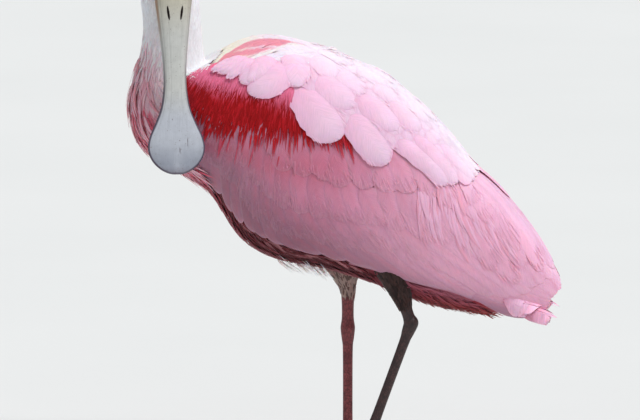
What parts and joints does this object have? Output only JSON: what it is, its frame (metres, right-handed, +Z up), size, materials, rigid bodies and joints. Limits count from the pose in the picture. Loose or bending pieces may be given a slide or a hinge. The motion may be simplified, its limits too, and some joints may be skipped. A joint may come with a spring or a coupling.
{
  "type": "roseate spoonbill",
  "caption": "Standing wading bird with a long spoon-tipped bill hanging before its chest, folded pink wings, a short tail and long thin legs.",
  "frame": {"origin": "on the floor, at the middle of the flat under the right foot's toe joint", "axes": "+Z up, the bird faces -X, its left side is towards -Y"},
  "size_m": [0.3762, 0.1459, 0.5214],
  "materials": {
    "bare_skin": "satin",
    "bill": "satin",
    "eye": "gloss",
    "neck_plumage": "matte",
    "body_plumage": "matte",
    "wing_plumage": "matte",
    "tail_plumage": "matte",
    "red_leg": "satin",
    "dark_leg": "satin"
  },
  "bodies": {
    "root": {"head": "bare_skin", "bill_upper": "bill", "bill_lower": "bill", "eye_left": "eye", "eye_right": "eye", "neck_upper": "neck_plumage", "neck_lower": "neck_plumage", "torso": "body_plumage", "wing_left": "wing_plumage", "wing_right": "wing_plumage", "tail": "tail_plumage", "thigh_left": "body_plumage", "thigh_right": "body_plumage", "shank_left": "dark_leg", "shank_right": "red_leg", "tarsus_left": "dark_leg", "tarsus_right": "red_leg", "foot_left": "dark_leg", "foot_right": "red_leg"}
  },
  "joints": []
}
